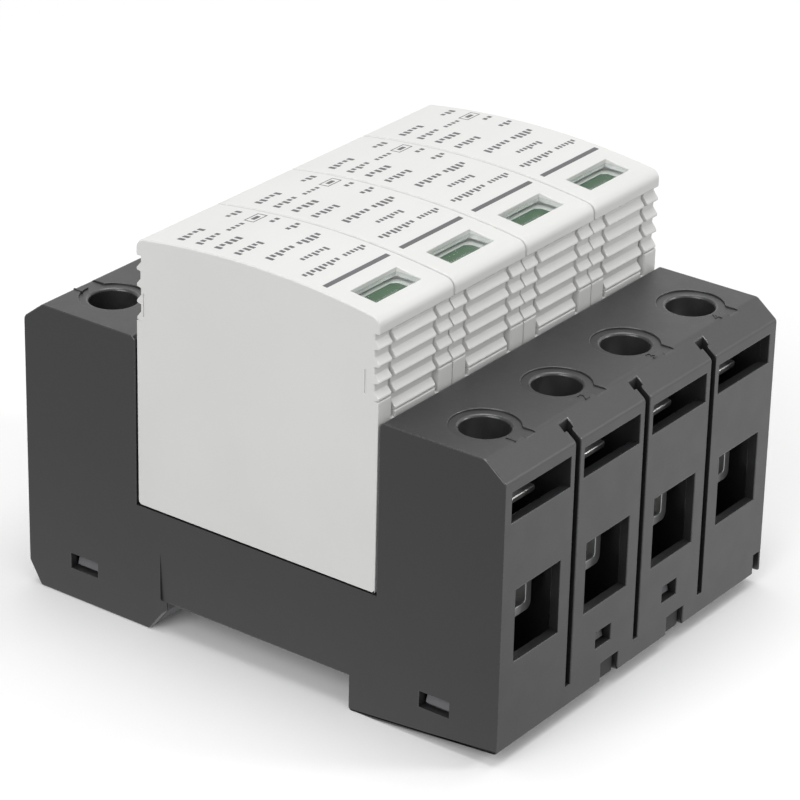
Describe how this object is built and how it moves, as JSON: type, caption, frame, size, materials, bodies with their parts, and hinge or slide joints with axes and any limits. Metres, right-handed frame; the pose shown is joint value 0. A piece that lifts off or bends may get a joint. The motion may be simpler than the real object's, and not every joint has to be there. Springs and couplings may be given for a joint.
{
  "type": "din rail surge arrester",
  "caption": "Pluggable surge arrester for a mounting rail: a dark grey base with screw terminals at both ends holds white cartridges with status windows.",
  "frame": {"origin": "centre of the bounding box's bottom, in the plane of the feet", "axes": "+X along the rail, +Y up the panel from the front terminals to the rear ones, +Z out from the rail"},
  "size_m": [0.072, 0.09, 0.0665],
  "materials": {
    "base_plastic": "fine moulded texture",
    "cover_plastic": "fine moulded texture",
    "latch_plastic": "smooth moulded",
    "spring_steel": "drawn wire",
    "contact_tin": "tin plated",
    "cage_zinc": "zinc plated",
    "screw_zinc": "zinc plated",
    "shell_white": "satin moulded",
    "carrier_red": "satin moulded",
    "lens_clear": "clear moulded",
    "flag_green": "satin moulded",
    "varistor_coat": "epoxy coated",
    "electrode_tin": "tin plated"
  },
  "bodies": {
    "base": {"base_housing": "base_plastic", "bottom_cover": "cover_plastic", "latch_spring_2": "spring_steel", "latch_spring_3": "spring_steel", "contact_strip_front_1": "contact_tin", "contact_strip_front_2": "contact_tin", "contact_strip_front_3": "contact_tin", "contact_strip_front_4": "contact_tin", "contact_strip_rear_1": "contact_tin", "contact_strip_rear_2": "contact_tin", "contact_strip_rear_3": "contact_tin", "contact_strip_rear_4": "contact_tin"},
    "latch_2": {"rail_latch_2": "latch_plastic"},
    "latch_3": {"rail_latch_3": "latch_plastic"},
    "cage_front_1": {"clamp_cage_front_1": "cage_zinc"},
    "screw_front_1": {"terminal_screw_front_1": "screw_zinc"},
    "cage_front_2": {"clamp_cage_front_2": "cage_zinc"},
    "screw_front_2": {"terminal_screw_front_2": "screw_zinc"},
    "cage_front_3": {"clamp_cage_front_3": "cage_zinc"},
    "screw_front_3": {"terminal_screw_front_3": "screw_zinc"},
    "cage_front_4": {"clamp_cage_front_4": "cage_zinc"},
    "screw_front_4": {"terminal_screw_front_4": "screw_zinc"},
    "cage_rear_1": {"clamp_cage_rear_1": "cage_zinc"},
    "screw_rear_1": {"terminal_screw_rear_1": "screw_zinc"},
    "cage_rear_2": {"clamp_cage_rear_2": "cage_zinc"},
    "screw_rear_2": {"terminal_screw_rear_2": "screw_zinc"},
    "cage_rear_3": {"clamp_cage_rear_3": "cage_zinc"},
    "screw_rear_3": {"terminal_screw_rear_3": "screw_zinc"},
    "cage_rear_4": {"clamp_cage_rear_4": "cage_zinc"},
    "screw_rear_4": {"terminal_screw_rear_4": "screw_zinc"},
    "cartridge_1": {"cartridge_shell_1": "shell_white", "cartridge_carrier_1": "carrier_red", "window_lens_1": "lens_clear", "varistor_1": "varistor_coat", "electrode_front_1": "electrode_tin", "electrode_rear_1": "electrode_tin"},
    "flag_1": {"status_flag_1": "flag_green"},
    "cartridge_2": {"cartridge_shell_2": "shell_white", "cartridge_carrier_2": "carrier_red", "window_lens_2": "lens_clear", "varistor_2": "varistor_coat", "electrode_front_2": "electrode_tin", "electrode_rear_2": "electrode_tin"},
    "flag_2": {"status_flag_2": "flag_green"},
    "cartridge_3": {"cartridge_shell_3": "shell_white", "cartridge_carrier_3": "carrier_red", "window_lens_3": "lens_clear", "varistor_3": "varistor_coat", "electrode_front_3": "electrode_tin", "electrode_rear_3": "electrode_tin"},
    "flag_3": {"status_flag_3": "flag_green"},
    "cartridge_4": {"cartridge_shell_4": "shell_white", "cartridge_carrier_4": "carrier_red", "window_lens_4": "lens_clear", "varistor_4": "varistor_coat", "electrode_front_4": "electrode_tin", "electrode_rear_4": "electrode_tin"},
    "flag_4": {"status_flag_4": "flag_green"}
  },
  "joints": [
    {"name": "latch_2_slide", "type": "slide", "parent": "base", "child": "latch_2", "axis": [0, -1, 0], "range_m": [0, 0.003], "stiffness_N_per_m": 800, "springref_m": -0.002, "deforming": ["latch_spring_2"]},
    {"name": "latch_3_slide", "type": "slide", "parent": "base", "child": "latch_3", "axis": [0, -1, 0], "range_m": [0, 0.003], "stiffness_N_per_m": 800, "springref_m": -0.002, "deforming": ["latch_spring_3"]},
    {"name": "screw_front_1_turn", "type": "hinge", "parent": "base", "child": "screw_front_1", "pos_m": [-0.027, -0.0348, 0.04], "axis": [0, 0, -1], "range_deg": [0, 2790.5]},
    {"name": "cage_front_1_lift", "type": "slide", "parent": "base", "child": "cage_front_1", "axis": [0, 0, 1], "range_m": [0, 0.0062]},
    {"name": "screw_front_2_turn", "type": "hinge", "parent": "base", "child": "screw_front_2", "pos_m": [-0.009, -0.0348, 0.04], "axis": [0, 0, -1], "range_deg": [0, 2790.5]},
    {"name": "cage_front_2_lift", "type": "slide", "parent": "base", "child": "cage_front_2", "axis": [0, 0, 1], "range_m": [0, 0.0062]},
    {"name": "screw_front_3_turn", "type": "hinge", "parent": "base", "child": "screw_front_3", "pos_m": [0.009, -0.0348, 0.04], "axis": [0, 0, -1], "range_deg": [0, 2790.5]},
    {"name": "cage_front_3_lift", "type": "slide", "parent": "base", "child": "cage_front_3", "axis": [0, 0, 1], "range_m": [0, 0.0062]},
    {"name": "screw_front_4_turn", "type": "hinge", "parent": "base", "child": "screw_front_4", "pos_m": [0.027, -0.0348, 0.04], "axis": [0, 0, -1], "range_deg": [0, 2790.5]},
    {"name": "cage_front_4_lift", "type": "slide", "parent": "base", "child": "cage_front_4", "axis": [0, 0, 1], "range_m": [0, 0.0062]},
    {"name": "screw_rear_1_turn", "type": "hinge", "parent": "base", "child": "screw_rear_1", "pos_m": [-0.027, 0.0348, 0.04], "axis": [0, 0, -1], "range_deg": [0, 2790.5]},
    {"name": "cage_rear_1_lift", "type": "slide", "parent": "base", "child": "cage_rear_1", "axis": [0, 0, 1], "range_m": [0, 0.0062]},
    {"name": "screw_rear_2_turn", "type": "hinge", "parent": "base", "child": "screw_rear_2", "pos_m": [-0.009, 0.0348, 0.04], "axis": [0, 0, -1], "range_deg": [0, 2790.5]},
    {"name": "cage_rear_2_lift", "type": "slide", "parent": "base", "child": "cage_rear_2", "axis": [0, 0, 1], "range_m": [0, 0.0062]},
    {"name": "screw_rear_3_turn", "type": "hinge", "parent": "base", "child": "screw_rear_3", "pos_m": [0.009, 0.0348, 0.04], "axis": [0, 0, -1], "range_deg": [0, 2790.5]},
    {"name": "cage_rear_3_lift", "type": "slide", "parent": "base", "child": "cage_rear_3", "axis": [0, 0, 1], "range_m": [0, 0.0062]},
    {"name": "screw_rear_4_turn", "type": "hinge", "parent": "base", "child": "screw_rear_4", "pos_m": [0.027, 0.0348, 0.04], "axis": [0, 0, -1], "range_deg": [0, 2790.5]},
    {"name": "cage_rear_4_lift", "type": "slide", "parent": "base", "child": "cage_rear_4", "axis": [0, 0, 1], "range_m": [0, 0.0062]},
    {"name": "cartridge_1_pull", "type": "slide", "parent": "base", "child": "cartridge_1", "axis": [0, 0, 1], "range_m": [0, 0.038]},
    {"name": "flag_1_trip", "type": "slide", "parent": "cartridge_1", "child": "flag_1", "axis": [0, 1, 0], "range_m": [0, 0.006]},
    {"name": "cartridge_2_pull", "type": "slide", "parent": "base", "child": "cartridge_2", "axis": [0, 0, 1], "range_m": [0, 0.038]},
    {"name": "flag_2_trip", "type": "slide", "parent": "cartridge_2", "child": "flag_2", "axis": [0, 1, 0], "range_m": [0, 0.006]},
    {"name": "cartridge_3_pull", "type": "slide", "parent": "base", "child": "cartridge_3", "axis": [0, 0, 1], "range_m": [0, 0.038]},
    {"name": "flag_3_trip", "type": "slide", "parent": "cartridge_3", "child": "flag_3", "axis": [0, 1, 0], "range_m": [0, 0.006]},
    {"name": "cartridge_4_pull", "type": "slide", "parent": "base", "child": "cartridge_4", "axis": [0, 0, 1], "range_m": [0, 0.038]},
    {"name": "flag_4_trip", "type": "slide", "parent": "cartridge_4", "child": "flag_4", "axis": [0, 1, 0], "range_m": [0, 0.006]}
  ],
  "couplings": [
    {"joint": "screw_front_1_turn", "follows": "cage_front_1_lift", "rad_per_m": 7854},
    {"joint": "screw_front_2_turn", "follows": "cage_front_2_lift", "rad_per_m": 7854},
    {"joint": "screw_front_3_turn", "follows": "cage_front_3_lift", "rad_per_m": 7854},
    {"joint": "screw_front_4_turn", "follows": "cage_front_4_lift", "rad_per_m": 7854},
    {"joint": "screw_rear_1_turn", "follows": "cage_rear_1_lift", "rad_per_m": 7854},
    {"joint": "screw_rear_2_turn", "follows": "cage_rear_2_lift", "rad_per_m": 7854},
    {"joint": "screw_rear_3_turn", "follows": "cage_rear_3_lift", "rad_per_m": 7854},
    {"joint": "screw_rear_4_turn", "follows": "cage_rear_4_lift", "rad_per_m": 7854}
  ]
}
